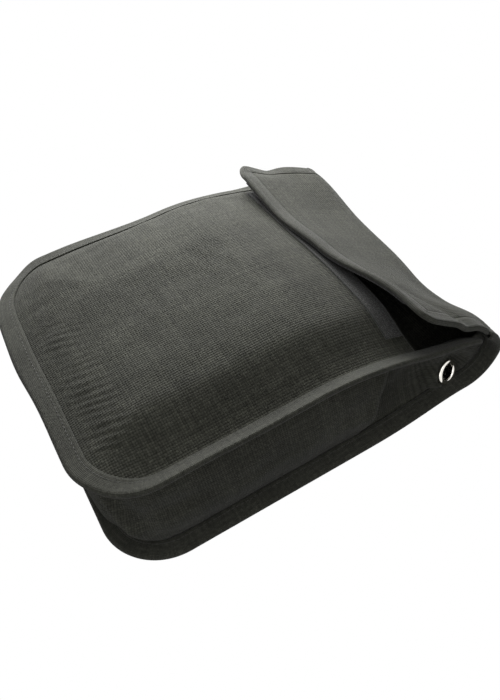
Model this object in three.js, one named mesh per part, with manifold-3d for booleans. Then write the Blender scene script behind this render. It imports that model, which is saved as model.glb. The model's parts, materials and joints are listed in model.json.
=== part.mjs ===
// A fire blanket in its soft pouch, lying on its back: millimetres, +X across, +Y from the pouch's bottom
// towards its flap, +Z up. The origin is on the floor under the middle of the pouch.
//
// One length of cloth makes the back, turns up and over at the top as a round spine, and goes on as the flap.
// A gusset strip joins it to the front panel round three sides, with its edges turned out under bound flanges.
import * as THREE from "three";
import { mergeVertices } from "three/addons/utils/BufferGeometryUtils.js";
import Module from "manifold-3d";

const wasm = await Module();
wasm.setup();

// Driving dimensions: the pouch
const pouchWidth = 212; // over the bound side flanges
const pouchLength = 261; // from the bottom flange to the outside of the spine
const pouchHeight = 77; // over the front flange, at the bottom end
const tipDrop = 1.07; // from the flap's fold down to the gusset's top edge, where that meets the spine
const frontFall = 1.9; // power of the curve by which the front flange falls to the tip
const cornerRadius = 40; // of the flanges' outer corners
const flangeWidth = 12; // from a flange's outer edge to its seam
const bindingSetback = 1; // from the edge of a binding tape's leg to the flange's seam
const gussetBulge = 7; // how far the filled gusset stands out past its seams
const frontCrown = 5; // how far the filled front panel rises over its flange
const crownReach = 40; // from the seam to the full rise
const mouthSetback = 57; // from the outside of the spine to the front panel's top edge
const tipSetback = 18; // from the outside of the spine to the end of the gusset's top edge
const hemWidth = 12; // of the hem turned under the front panel's top edge
const hemSetback = 0.5; // from that edge to the hem
const recessReach = 22; // over which the gusset's bulge ends, at the folded blanket's end

// Driving dimensions: the spine and the flap
const spineRadius = 24;
const flapLength = 65; // from its fold to its free edge
const flapSetback = 2; // from the pouch's side to the flap's side
const flapClosing = THREE.MathUtils.degToRad(2); // how far the flap at rest stands open
const stripsApart = 4.16; // between the hook and the loop strip at their middle, with the flap closed
const flapSideLift = 1; // at least, from the front flange up to the flap's sides
const flapCornerRadius = 14;
const flapCrown = 6.5; // rise of the flap's free edge at its middle
const flapBindingWidth = 10;

// Driving dimensions: cloth, tapes and fittings
const clothThickness = 1;
const bindingThickness = 0.8;
const layerGap = 0.3; // between two layers that lie on each other
const foldGap = 0.9; // on each side of the flap's fold line
const stripWidth = 11; // of the hook and the loop strip
const stripEndGap = 11; // from a side seam to a strip's end
const stripThickness = 1.2;
const stripSetback = 1.5; // from the cloth's edge to its strip
const stripGap = 0.5; // under the loop strip
const eyeletOuter = 17;
const eyeletBore = 10;
const eyeletWall = 0.6;
const eyeletSetback = 31.5; // from the outside of the spine to the eyelet's middle
const eyeletHeight = 17.5;
const washerThickness = 0.9;
const fitClearance = 0.3;
const eyeletRoll = 1.5; // by which the barrel's rolled end covers the washer
const eyeletRise = 1.1; // of the flange over the cloth

// Driving dimensions: the folded blanket
const blanketSideRoom = 8; // between the folded blanket and each side seam
const blanketLength = 156;
const blanketRoom = 4; // between the folded blanket and the seams of the bottom and the front
const blanketEndHeight = 60; // of the folded edge that faces the mouth
const blanketRound = 5;
const blanketFall = 0.55; // share of the blanket's length over which its top falls to its lower end
const pullTapeWidth = 25;
const pullTapeThickness = 1.6;
const pullTapeSpacing = 96; // between the middles of the two tapes
const pullTapeLap = 28; // on top of the blanket
const pullTapeTail = 14; // lying on the pouch's back

// Levels of the layers in a bound flange, counted in from its outer face
const tapeInner = bindingThickness;
const clothOuter = tapeInner + layerGap;
const clothInner = clothOuter + clothThickness;
const gussetOuter = clothInner + layerGap;
const gussetInner = gussetOuter + clothThickness;
const legOuter = gussetInner + layerGap;
const flangeThickness = legOuter + bindingThickness;
const flapThickness = clothInner + layerGap + bindingThickness;
const clothEdge = clothOuter + layerGap; // from the flange's outer edge to the cloth's cut edge

const bindingWidth = flangeWidth - bindingSetback;
const flapWidth = pouchWidth - 2 * flapSetback;
const stripLength = pouchWidth - 2 * (flangeWidth + stripEndGap);
const blanketWidth = pouchWidth - 2 * (flangeWidth + blanketSideRoom);
const bottomY = -pouchLength / 2;
const spineY = pouchLength / 2;
const mouthY = spineY - mouthSetback;
const tipY = spineY - tipSetback;

/** The flap's fold, and the front flange's fall towards the tip just under it, for a slope of the flap. */
function foldAt(slope) {
  const y = spineY - spineRadius + spineRadius * Math.sin(slope);
  const z = spineRadius + spineRadius * Math.cos(slope);
  return { y, z, fall: pouchHeight - (z - tipDrop) };
}

/** The space left between the two strips, with a flap of this slope closed over the full front panel. */
function spaceBetweenStrips(slope) {
  const fold = foldAt(slope);
  const along = flapLength - stripSetback - stripWidth / 2;
  const up = (flapCrown * along) / flapLength - flapThickness - layerGap - stripThickness;
  const closed = slope - flapClosing;
  const y = fold.y - along * Math.cos(closed) + up * Math.sin(closed);
  const z = fold.z + along * Math.sin(closed) + up * Math.cos(closed);
  const front = pouchHeight - fold.fall * Math.max(0, y / tipY) ** frontFall - clothOuter + frontCrown;
  return z - front - stripGap - stripThickness;
}

/** The least height of the flap's sides over the front flange, with a flap of this slope at rest. */
function spaceOverFlange(slope) {
  const fold = foldAt(slope);
  const spaces = [];
  for (let along = 0; along < flapLength; along++) {
    const y = fold.y - along * Math.cos(slope) - flapThickness * Math.sin(slope);
    const z = fold.z + along * Math.sin(slope) - flapThickness * Math.cos(slope);
    if (y < tipY) spaces.push(z - pouchHeight + fold.fall * Math.max(0, y / tipY) ** frontFall);
  }
  return Math.min(...spaces);
}

/** The least slope at which the flap's sides clear the flange and its strip is far enough from the other. */
function fittingSlope() {
  let [low, high] = [0, Math.PI / 2];
  for (let k = 0; k < 40; k++) {
    const middle = (low + high) / 2;
    const fits = spaceBetweenStrips(middle) > stripsApart && spaceOverFlange(middle) > flapSideLift;
    if (fits) high = middle;
    else low = middle;
  }
  return high;
}

const flapSlope = fittingSlope();
const frontDrop = foldAt(flapSlope).fall; // of the front flange, from the bottom end to the tip
const flatLength = pouchLength - spineRadius; // of the back, from its bottom edge to the start of the spine
const foldLength = flatLength + spineRadius * (Math.PI - flapSlope); // to the flap's fold line

const flapCore = 0.6; // share of the flap's length beyond its grid's innermost ring

// Outlines of the three cloths, lengths counted from their round-cornered ends: flat is where a cloth starts
// to bend, and core is where the innermost ring of its grid starts.
const backOutline = {
  width: pouchWidth,
  radius: cornerRadius,
  core: pouchWidth / 2,
  flat: flatLength,
  length: foldLength - foldGap,
};
const frontOutline = {
  width: pouchWidth,
  radius: cornerRadius,
  core: pouchWidth / 2,
  flat: mouthY - bottomY,
  length: mouthY - bottomY,
};
const flapOutline = {
  width: flapWidth,
  radius: flapCornerRadius,
  core: flapLength * flapCore,
  flat: flapLength - foldGap,
  length: flapLength - foldGap,
};
const boundRings = 2; // rings under and just past a binding, which run parallel to the edge all round
const arcSteps = 3; // grid steps round half of a ring's corner
const tipSteps = 12; // stations along each stretch of an edge
const sideSteps = 10;
const cornerSteps = 6;
const endSteps = 12;
const spineSteps = 12;
const flapEndSteps = 20;
const stripSteps = 20;
const stripRows = 2;
const wallRows = 6; // of the gusset, between its seams
const roundSteps = 5; // round each corner of the blanket's outlines
const eyeletSides = 28;
const pullTapeSteps = 40;

const mix = THREE.MathUtils.lerp;
const ease = THREE.MathUtils.smoothstep;

// ---------------------------------------------------------------- surfaces

/** A point at a height above the outer face of the back, at x and at a length of cloth from its bottom edge. */
function onBack(x, length, height) {
  if (length <= flatLength) return new THREE.Vector3(x, bottomY + length, height);
  const angle = (length - flatLength) / spineRadius;
  const reach = spineRadius - height;
  return new THREE.Vector3(
    x,
    spineY - spineRadius + reach * Math.sin(angle),
    spineRadius - reach * Math.cos(angle),
  );
}

const foldPoint = onBack(0, foldLength, 0);
const flapAlong = new THREE.Vector3(0, -Math.cos(flapSlope), Math.sin(flapSlope));
const flapUp = new THREE.Vector3(0, Math.sin(flapSlope), Math.cos(flapSlope));

/** How much of its full rise a crowned cloth has, at a share of the way from its seam to where it is level. */
function swell(room) {
  return 1 - (1 - THREE.MathUtils.clamp(room, 0, 1)) ** 2.2;
}

/** A point at a depth under the outer face of the flap, at x and at a distance from its fold. */
function onFlap(x, distance, depth) {
  const rise = flapCrown * (1 - (x / (flapWidth / 2)) ** 2) * (distance / flapLength);
  return new THREE.Vector3(x, 0, 0)
    .add(new THREE.Vector3(0, foldPoint.y, foldPoint.z))
    .addScaledVector(flapAlong, distance)
    .addScaledVector(flapUp, rise - depth);
}

/** Height of the front flange's outer face. */
function frontHeight(y) {
  return pouchHeight - frontDrop * Math.max(0, y / tipY) ** frontFall;
}

/** A point at a depth under the outer face of the front flange. */
function onFront(x, y, depth) {
  return new THREE.Vector3(x, y, frontHeight(y) - depth);
}

/** A point at a height over the front panel's own cloth, which is crowned inside its seam. */
function onPanel(x, y, height) {
  const room = (insetOf(frontOutline, x, y - bottomY) - flangeWidth) / crownReach;
  return new THREE.Vector3(x, y, frontHeight(y) - clothOuter + frontCrown * swell(room) + height);
}

// ---------------------------------------------------------------- outlines

/** A ring of an outline: how far in from the sides and the end it runs, and what is left of its corner. */
function ringOf(outline, insets, count) {
  const side = insets[count];
  const half = outline.width / 2 - side;
  const bound = insets[boundRings];
  const share = Math.max(0, (side - bound) / (outline.width / 2 - bound));
  const end = count <= boundRings ? side : mix(bound, outline.core, share);
  return { half, end, radius: Math.max(outline.radius - side, 0) };
}

/** How far a place is from an outline's rounded edge. */
function insetOf(outline, x, length) {
  const toSide = outline.width / 2 - Math.abs(x);
  const { radius } = outline;
  if (toSide < radius && length < radius) return radius - Math.hypot(radius - toSide, radius - length);
  return Math.min(toSide, length);
}

/** A place along half a ring: steps round half its corner, then evenly along what is straight. */
function alongRing(step, steps) {
  return step <= arcSteps
    ? { angle: (step / arcSteps) * (Math.PI / 4), run: 0 }
    : { angle: Math.PI / 4, run: (step - arcSteps) / (steps - arcSteps) };
}

/** The flat place [x, length] of grid point (i, j): rings of the grid run parallel to the rounded edge. */
function ringPoint(outline, insets, rows, flatRows, i, j) {
  const columns = 2 * (insets.length - 1);
  const count = Math.min(i, columns - i, j, insets.length - 1);
  const ring = ringOf(outline, insets, count);
  const hand = Math.sign(i - columns / 2);
  const centre = ring.half - ring.radius;
  if (j > flatRows) {
    const length = mix(outline.flat, outline.length, (j - flatRows) / (rows - flatRows));
    return [hand * ring.half, length];
  }
  if (j === count && count < insets.length - 1) {
    const toEdge = Math.min(i, columns - i) - count;
    const { angle, run } = alongRing(toEdge, columns / 2 - count);
    const lean = Math.PI / 4 + angle;
    return [
      hand * (centre + ring.radius * Math.cos(lean)) * (1 - run),
      ring.end + ring.radius * (1 - Math.sin(lean)),
    ];
  }
  const { angle, run } = alongRing(j - count, flatRows - count);
  const lean = Math.PI / 4 - angle;
  const length = ring.end + ring.radius * (1 - Math.sin(lean));
  return [hand * (centre + ring.radius * Math.cos(lean)), mix(length, outline.flat, run)];
}

/** Stations round an outline's edge, from the +X side to the -X side: each one's place and inward direction. */
function edgeStations(outline, sideLengths, cornerSteps, endSteps) {
  const half = outline.width / 2;
  const { radius } = outline;
  const stations = sideLengths.map((length) => ({ x: half, length, inX: -1, inLength: 0 }));
  for (let k = 0; k <= cornerSteps; k++) {
    const angle = (k / cornerSteps) * (Math.PI / 2);
    stations.push({
      x: half - radius + radius * Math.cos(angle),
      length: radius - radius * Math.sin(angle),
      inX: -Math.cos(angle),
      inLength: Math.sin(angle),
    });
  }
  for (let k = 1; k <= endSteps / 2; k++)
    stations.push({ x: mix(half - radius, 0, k / (endSteps / 2)), length: 0, inX: 0, inLength: 1 });
  const mirrored = stations.slice(0, -1).reverse();
  return [...stations, ...mirrored.map((at) => ({ ...at, x: -at.x, inX: -at.inX }))];
}

/** Evenly spaced values from a to b, the last left out. */
function spaced(a, b, steps) {
  return Array.from({ length: steps }, (_, k) => mix(a, b, k / steps));
}

// ---------------------------------------------------------------- solids

/** Six times the volume that a closed geometry holds, below zero where its faces point inwards. */
function sixVolumes(geometry) {
  const at = geometry.attributes.position;
  const corner = [0, 1, 2].map(() => new THREE.Vector3());
  let sum = 0;
  for (let k = 0; k < geometry.index.count; k += 3) {
    corner.forEach((c, n) => c.fromBufferAttribute(at, geometry.index.getX(k + n)));
    sum += corner[0].dot(corner[1].cross(corner[2]));
  }
  return sum;
}

/** Position only, equal vertices merged and faces pointing out. */
function welded(geometry) {
  const bare = geometry.clone();
  bare.deleteAttribute("normal");
  bare.deleteAttribute("uv");
  const merged = mergeVertices(bare, 1e-4);
  if (sixVolumes(merged) < 0) {
    const { array } = merged.index;
    for (let k = 0; k < array.length; k += 3) [array[k], array[k + 1]] = [array[k + 1], array[k]];
  }
  return merged;
}

/** A closed sheet: the grid of a thin box, each of its points put where place(i, j, layer) says. */
function sheet(columns, rows, place) {
  const box = new THREE.BoxGeometry(1, 1, 1, columns, rows, 1);
  const at = box.attributes.position;
  for (let k = 0; k < at.count; k++) {
    const i = Math.round((at.getX(k) + 0.5) * columns);
    const j = Math.round((at.getY(k) + 0.5) * rows);
    const point = place(i, j, at.getZ(k) < 0 ? 0 : 1);
    at.setXYZ(k, point.x, point.y, point.z);
  }
  return welded(box);
}

/** A tape or strip along stations: at each, section[layer][j] is [inset, level], put in space by place. */
function swept(stations, section, place) {
  return sheet(stations.length - 1, section[0].length - 1, (i, j, layer) => {
    const at = stations[i];
    const [inset, level] = section[layer][j];
    return place(at.x + at.inX * inset, at.length + at.inLength * inset, level);
  });
}

/** The two faces of a tape folded round an edge, so that it covers both sides of it to a width. */
function foldedSection(width, thickness) {
  const inner = bindingThickness;
  return [
    [[width, 0], [0, 0], [0, thickness], [width, thickness]],
    [[width, inner], [inner, inner], [inner, thickness - inner], [width, thickness - inner]],
  ];
}

function toSolid(geometry) {
  const bare = welded(geometry);
  return new wasm.Manifold(
    new wasm.Mesh({
      numProp: 3,
      vertProperties: bare.attributes.position.array,
      triVerts: new Uint32Array(bare.index.array),
    }),
  );
}

function toGeometry(solid) {
  const mesh = solid.getMesh();
  return new THREE.BufferGeometry()
    .setAttribute("position", new THREE.BufferAttribute(mesh.vertProperties, 3))
    .setIndex(new THREE.BufferAttribute(mesh.triVerts, 1));
}

/** A flat shape from the corners of a polygon, each of them rounded. */
function roundedOutline(corners, radius) {
  const rounded = [];
  corners.forEach((corner, k) => {
    const before = corners[(k + corners.length - 1) % corners.length].clone().sub(corner).normalize();
    const after = corners[(k + 1) % corners.length].clone().sub(corner).normalize();
    const half = Math.acos(THREE.MathUtils.clamp(before.dot(after), -1, 1)) / 2;
    const inwards = before.clone().add(after).normalize();
    const centre = corner.clone().addScaledVector(inwards, radius / Math.sin(half));
    const start = before.multiplyScalar(radius / Math.tan(half)).add(corner).sub(centre).angle();
    const end = after.multiplyScalar(radius / Math.tan(half)).add(corner).sub(centre).angle();
    const turn = THREE.MathUtils.euclideanModulo(end - start + Math.PI, 2 * Math.PI) - Math.PI;
    for (let n = 0; n <= roundSteps; n++) {
      const angle = start + (turn * n) / roundSteps;
      const out = new THREE.Vector2(Math.cos(angle), Math.sin(angle));
      rounded.push(out.multiplyScalar(radius).add(centre));
    }
  });
  return new THREE.Shape(rounded);
}

// ---------------------------------------------------------------- materials

const canvas = { color: 0x2c2d2a, roughness: 0.86, metalness: 0 };
const tape = { color: 0x343532, roughness: 0.8, metalness: 0 };
const nickel = { color: 0xc9c7c0, roughness: 0.28, metalness: 1 };
const glassCloth = { color: 0xd9d6cc, roughness: 0.6, metalness: 0 };
const loopPile = { color: 0x262725, roughness: 0.95, metalness: 0 };
const webbing = { color: 0x1f1f1f, roughness: 0.7, metalness: 0 };

function part(name, geometry, finish) {
  const mesh = new THREE.Mesh(geometry, new THREE.MeshStandardMaterial(finish));
  mesh.name = name;
  return mesh;
}

// ---------------------------------------------------------------- back, spine and their binding

/** Rings from the cut edge of a cloth, past the end of its binding, to the middle. */
function clothRings(outline, bound, count) {
  const full = bound + clothInner;
  const inner = spaced(full, outline.width / 2, count - 1);
  inner.push(outline.width / 2);
  return [clothEdge, bound + layerGap, ...inner];
}

/** How far a cloth's rim is set in from its outer face, so that the tape over it lies flush. */
function rimSet(outline, bound, x, length) {
  return clothOuter * (1 - ease(insetOf(outline, x, length), bound + layerGap, bound + clothInner));
}

function backPanel() {
  const rings = clothRings(backOutline, bindingWidth, 6);
  const flatRows = 14;
  const rows = flatRows + 12;
  return sheet(2 * (rings.length - 1), rows, (i, j, layer) => {
    const [x, length] = ringPoint(backOutline, rings, rows, flatRows, i, j);
    return onBack(x, length, rimSet(backOutline, bindingWidth, x, length) + layer * clothThickness);
  });
}

/** Lengths down one side of the back: round the spine, then along the flat to the start of the corner. */
function backSideLengths() {
  return [
    ...spaced(foldLength - foldGap, flatLength, spineSteps),
    ...spaced(flatLength, cornerRadius, sideSteps),
  ];
}

function backBinding() {
  const stations = edgeStations(backOutline, backSideLengths(), cornerSteps, endSteps);
  return swept(stations, foldedSection(bindingWidth, flangeThickness), onBack);
}

// ---------------------------------------------------------------- front panel, its binding and its hem

function frontPanel() {
  const rings = clothRings(frontOutline, bindingWidth, 9);
  const rows = 18;
  return sheet(2 * (rings.length - 1), rows, (i, j, layer) => {
    const [x, length] = ringPoint(frontOutline, rings, rows, rows, i, j);
    return onPanel(x, bottomY + length, -layer * clothThickness);
  });
}

/** Lengths down one side of the front flange: from the tip along the mouth, then to the corner. */
function frontSideLengths() {
  const mouth = mouthY - bottomY;
  return [
    ...spaced(tipY - bottomY, mouth, tipSteps),
    ...spaced(mouth, cornerRadius, sideSteps),
  ];
}

function frontBinding() {
  const stations = edgeStations(frontOutline, frontSideLengths(), cornerSteps, endSteps);
  return swept(stations, foldedSection(bindingWidth, flangeThickness), (x, length, depth) =>
    onFront(x, bottomY + length, depth),
  );
}

function mouthHem() {
  const half = pouchWidth / 2 - flangeWidth - clothInner;
  const top = -clothThickness - stripGap;
  return sheet(stripSteps, stripRows, (i, j, layer) =>
    onPanel(
      mix(-half, half, i / stripSteps),
      mouthY - mix(hemSetback, hemWidth, j / stripRows),
      top - layer * clothThickness,
    ),
  );
}

// ---------------------------------------------------------------- gusset

/** How much of its bulge the gusset has at a length along the pouch: full over the blanket, none past it. */
function bulgeShare(length) {
  const end = blanketEnd() - bottomY;
  return 1 - ease(length, end - recessReach, end);
}

function blanketEnd() {
  return bottomY + flangeWidth + blanketRoom + blanketLength;
}

/** Both lines that the gusset strip runs between: stations on the back's edge and on the front's. */
function gussetStations() {
  const mouth = mouthY - bottomY;
  const back = [
    ...spaced(foldLength - foldGap, flatLength, tipSteps * 0.75),
    ...spaced(flatLength, mouth, tipSteps * 0.25),
    ...spaced(mouth, cornerRadius, sideSteps),
  ];
  return {
    back: edgeStations(backOutline, back, cornerSteps, endSteps),
    front: edgeStations(frontOutline, frontSideLengths(), cornerSteps, endSteps),
  };
}

function gusset() {
  const { back, front } = gussetStations();
  const rows = wallRows + 2;
  return sheet(back.length - 1, rows, (i, j, layer) => {
    const level = layer === 0 ? gussetInner : gussetOuter;
    const seam = flangeWidth + layer * clothThickness;
    const inset = j === 0 || j === rows ? clothEdge : seam;
    const low = back[i];
    const high = front[i];
    const lowPoint = onBack(low.x + low.inX * inset, low.length + low.inLength * inset, level);
    if (j <= 1) return lowPoint;
    const y = bottomY + high.length + high.inLength * inset;
    const highPoint = onFront(high.x + high.inX * inset, y, level);
    if (j >= rows - 1) return highPoint;
    const share = (j - 1) / wallRows;
    const out = gussetBulge * Math.sin(Math.PI * share) * bulgeShare(low.length);
    return lowPoint.lerp(highPoint, share).add(new THREE.Vector3(-low.inX * out, -low.inLength * out, 0));
  });
}

// ---------------------------------------------------------------- eyelets

const eyeletY = spineY - eyeletSetback;
const wallX = pouchWidth / 2 - flangeWidth;

/** A turned ring from [radius, distance out of the wall's outer face] pairs, on the wall at side +1 or -1. */
function turned(profile, side) {
  const points = [...profile, profile[0]].map(([radius, out]) => new THREE.Vector2(radius, out));
  return welded(
    new THREE.LatheGeometry(points, eyeletSides)
      .rotateZ(-side * (Math.PI / 2))
      .translate(side * wallX, eyeletY, eyeletHeight),
  );
}

/** The flange with its domed edge, the barrel through the wall, and the barrel's end rolled over. */
function eyelet(side) {
  const bore = eyeletBore / 2;
  const barrel = bore + eyeletWall;
  const rim = eyeletOuter / 2;
  const front = fitClearance + eyeletRise;
  const middle = fitClearance + eyeletRise / 2;
  const back = -clothThickness - 3 * fitClearance - washerThickness;
  const end = back - eyeletRise / 2;
  return turned(
    [
      [bore, middle], [barrel, front], [rim - eyeletRise, front], [rim - fitClearance, middle],
      [rim, fitClearance], [barrel, fitClearance], [barrel, back], [barrel + eyeletRoll, back],
      [barrel + eyeletRoll, back - fitClearance], [barrel + eyeletRoll / 2, end], [barrel, end],
      [bore, back - fitClearance],
    ],
    side,
  );
}

function eyeletWasher(side) {
  const hole = eyeletBore / 2 + eyeletWall + fitClearance;
  const rim = eyeletOuter / 2;
  const face = -clothThickness - fitClearance;
  return turned(
    [[hole, face], [rim - fitClearance, face], [rim, face - fitClearance],
      [rim - fitClearance, face - washerThickness], [hole, face - washerThickness]],
    side,
  );
}

/** The gusset with a hole for each eyelet's barrel. */
function punchedGusset() {
  const radius = eyeletBore / 2 + eyeletWall + fitClearance;
  const punch = new THREE.CylinderGeometry(radius, radius, flangeWidth, eyeletSides).rotateZ(Math.PI / 2);
  let solid = toSolid(gusset());
  for (const side of [1, -1])
    solid = solid.subtract(toSolid(punch.clone().translate(side * wallX, eyeletY, eyeletHeight)));
  return toGeometry(solid);
}

// ---------------------------------------------------------------- flap, strips

function flapPanel() {
  const rings = clothRings(flapOutline, flapBindingWidth, 7);
  const rows = 10;
  return sheet(2 * (rings.length - 1), rows, (i, j, layer) => {
    const [x, length] = ringPoint(flapOutline, rings, rows, rows, i, j);
    const depth = rimSet(flapOutline, flapBindingWidth, x, length) + layer * clothThickness;
    return onFlap(x, flapLength - length, depth);
  });
}

function flapBinding() {
  const sides = spaced(flapLength - foldGap, flapCornerRadius, 5);
  const stations = edgeStations(flapOutline, sides, cornerSteps, flapEndSteps);
  return swept(stations, foldedSection(flapBindingWidth, flapThickness), (x, length, depth) =>
    onFlap(x, flapLength - length, depth),
  );
}

/** The hook strip, sewn over the hem of the flap's free edge. */
function hookStrip() {
  const top = flapThickness + layerGap;
  const start = flapLength - stripSetback - stripWidth;
  return sheet(stripSteps, stripRows, (i, j, layer) =>
    onFlap(
      mix(-stripLength / 2, stripLength / 2, i / stripSteps),
      start + (j / stripRows) * stripWidth,
      top + layer * stripThickness,
    ),
  );
}

function loopStrip() {
  const from = mouthY - stripSetback;
  return sheet(stripSteps, stripRows, (i, j, layer) =>
    onPanel(
      mix(-stripLength / 2, stripLength / 2, i / stripSteps),
      from - (j / stripRows) * stripWidth,
      stripGap + layer * stripThickness,
    ),
  );
}

// ---------------------------------------------------------------- blanket and its pull tapes

const blanketFloor = clothThickness + 2 * fitClearance;
const stackHeight = pouchHeight - flangeThickness - blanketRoom;
const stackBend = blanketEnd() - blanketFall * blanketLength;

/** The folded stack: its outline seen from the side, cut to the round corners that the gusset leaves it. */
function blanket() {
  const start = blanketEnd() - blanketLength;
  const end = blanketEnd();
  const corner = (x, y) => new THREE.Vector2(x, y);
  const outline = roundedOutline(
    [corner(start, blanketFloor), corner(end, blanketFloor), corner(end, blanketEndHeight),
      corner(stackBend, stackHeight), corner(start, stackHeight)],
    blanketRound,
  );
  const half = blanketWidth / 2;
  const plan = roundedOutline(
    [corner(-half, start), corner(half, start), corner(half, end + 1), corner(-half, end + 1)],
    cornerRadius - flangeWidth - blanketRoom,
  );
  // The side outline's x, y and depth become y, z and x.
  const turn = new THREE.Matrix4().set(0, 0, 1, -half, 1, 0, 0, 0, 0, 1, 0, 0, 0, 0, 0, 1);
  const side = new THREE.ExtrudeGeometry(outline, { depth: blanketWidth, bevelEnabled: false });
  const upright = new THREE.ExtrudeGeometry(plan, { depth: pouchHeight, bevelEnabled: false });
  return toGeometry(toSolid(side.applyMatrix4(turn)).intersect(toSolid(upright)));
}

/** A pull tape's path: over the top of the stack, down its end and out along the pouch's back. */
function pullTapePath() {
  const off = fitClearance + pullTapeThickness / 2;
  const face = blanketEnd() + off + fitClearance;
  const slope = (stackHeight - blanketEndHeight) / (blanketEnd() - stackBend);
  const topAt = (y) => blanketEndHeight + off + fitClearance + slope * (blanketEnd() - y);
  const floor = blanketFloor + off;
  const bend = blanketRound + off;
  const at = (y, z) => new THREE.Vector3(0, y, z);
  const lap = at(blanketEnd() - pullTapeLap, topAt(blanketEnd() - pullTapeLap));
  const edge = at(face - bend, topAt(face - bend));
  const over = at(face, blanketEndHeight - blanketRound);
  const low = at(face, floor + bend);
  const foot = at(face + bend, floor);
  const path = new THREE.CurvePath();
  path.add(new THREE.LineCurve3(lap, edge));
  path.add(new THREE.QuadraticBezierCurve3(edge, at(face, topAt(face)), over));
  path.add(new THREE.LineCurve3(over, low));
  path.add(new THREE.QuadraticBezierCurve3(low, at(face, floor), foot));
  path.add(new THREE.LineCurve3(foot, foot.clone().add(at(pullTapeTail, 0))));
  return path;
}

function pullTape(x) {
  const path = pullTapePath();
  const steps = pullTapeSteps;
  const middle = Array.from({ length: steps + 1 }, (_, k) => path.getPointAt(k / steps));
  return sheet(steps, 1, (i, j, layer) => {
    const along = middle[Math.min(i + 1, steps)].clone().sub(middle[Math.max(i - 1, 0)]).normalize();
    const out = new THREE.Vector3(0, -along.z, along.y);
    return middle[i]
      .clone()
      .addScaledVector(out, (layer - 0.5) * pullTapeThickness)
      .add(new THREE.Vector3(x + (j - 0.5) * pullTapeWidth, 0, 0));
  });
}

// ---------------------------------------------------------------- assembly

const fireBlanket = new THREE.Group();

const pouch = new THREE.Group();
pouch.add(
  part("back_panel", backPanel(), canvas),
  part("back_binding", backBinding(), tape),
  part("gusset", punchedGusset(), canvas),
  part("front_panel", frontPanel(), canvas),
  part("front_binding", frontBinding(), tape),
  part("mouth_hem", mouthHem(), canvas),
  part("loop_strip", loopStrip(), loopPile),
);
for (const [name, side] of [["right", 1], ["left", -1]])
  pouch.add(
    part(`${name}_eyelet`, eyelet(side), nickel),
    part(`${name}_eyelet_washer`, eyeletWasher(side), nickel),
  );

const flap = new THREE.Group();
flap.add(
  part("flap_panel", flapPanel(), canvas),
  part("flap_binding", flapBinding(), tape),
  part("hook_strip", hookStrip(), loopPile),
);

const folded = new THREE.Group();
folded.add(part("blanket", blanket(), glassCloth));
for (const [name, side] of [["right", 1], ["left", -1]])
  folded.add(part(`${name}_pull_tape`, pullTape((side * pullTapeSpacing) / 2), webbing));

fireBlanket.add(pouch, flap, folded);

export default fireBlanket;
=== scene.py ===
"""A fire blanket in its soft canvas pouch, lying on its back on a pale floor.

The pouch is one length of canvas that makes the back, the round spine and the flap, a canvas gusset, and a
front panel, joined under bound flanges. Metres, +X across, +Y from the bottom to the flap, +Z up.
"""

import json
import math

import bmesh
import bpy
from mathutils import Matrix, Vector, noise


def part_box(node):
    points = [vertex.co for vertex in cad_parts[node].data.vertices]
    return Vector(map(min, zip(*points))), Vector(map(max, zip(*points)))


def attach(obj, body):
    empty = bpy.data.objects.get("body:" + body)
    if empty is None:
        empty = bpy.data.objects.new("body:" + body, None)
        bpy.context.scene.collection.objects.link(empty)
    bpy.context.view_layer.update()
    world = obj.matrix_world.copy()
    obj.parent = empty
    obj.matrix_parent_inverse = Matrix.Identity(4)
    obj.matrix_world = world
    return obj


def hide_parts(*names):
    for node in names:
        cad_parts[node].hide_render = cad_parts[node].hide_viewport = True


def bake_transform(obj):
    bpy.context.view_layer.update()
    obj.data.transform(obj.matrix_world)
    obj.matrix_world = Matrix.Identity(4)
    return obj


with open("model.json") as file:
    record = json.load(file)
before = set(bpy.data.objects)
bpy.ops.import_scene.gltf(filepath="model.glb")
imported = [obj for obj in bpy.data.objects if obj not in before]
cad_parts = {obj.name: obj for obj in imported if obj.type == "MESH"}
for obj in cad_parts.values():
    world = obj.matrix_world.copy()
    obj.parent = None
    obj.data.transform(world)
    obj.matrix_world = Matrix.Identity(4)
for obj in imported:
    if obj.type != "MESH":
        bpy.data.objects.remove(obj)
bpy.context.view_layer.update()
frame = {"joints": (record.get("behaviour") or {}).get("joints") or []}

# ------------------------------------------------------------------ sizes taken from the frame

MM = 0.001
back_low, back_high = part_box("back_binding")
_, front_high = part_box("front_binding")
joints = {joint["name"]: joint for joint in frame["joints"]}
fold = Vector(joints["flap_fold"]["pos_m"])
half_width = back_high.x
bottom_y = back_low.y
spine_y = -bottom_y
top_z = front_high.z
tip_y = front_high.y
mouth_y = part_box("front_panel")[1].y
flap_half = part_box("flap_binding")[1].x
strip_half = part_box("loop_strip")[1].x

# ------------------------------------------------------------------ sizes of the soft goods

canvas_thickness = 0.9 * MM
tape_thickness = 0.7 * MM
flange_width = 12 * MM
tape_width = 11.3 * MM
flange_thickness = 4.4 * MM
corner_radius = 40 * MM
flap_corner_radius = 10 * MM
flap_length = 65 * MM
flap_tape_width = 9.5 * MM
flap_thickness = 3.1 * MM
spine_radius = 24 * MM
front_fall = 1.9
front_crown = 8.5 * MM
mouth_crown = 5.5 * MM
crown_reach = 58 * MM
gusset_bulge = 7 * MM
strip_width = 11 * MM
strip_setback = 1.5 * MM
hinge_lift_height = 5 * MM
groove_depth = 7.5 * MM
gusset_wall = 70 * MM
eyelet_bore = 5 * MM
eyelet_rim = 8.5 * MM
eyelet_hole = 6.4 * MM
cloth_held_to = 9.5 * MM
cloth_free_from = 17 * MM

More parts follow.
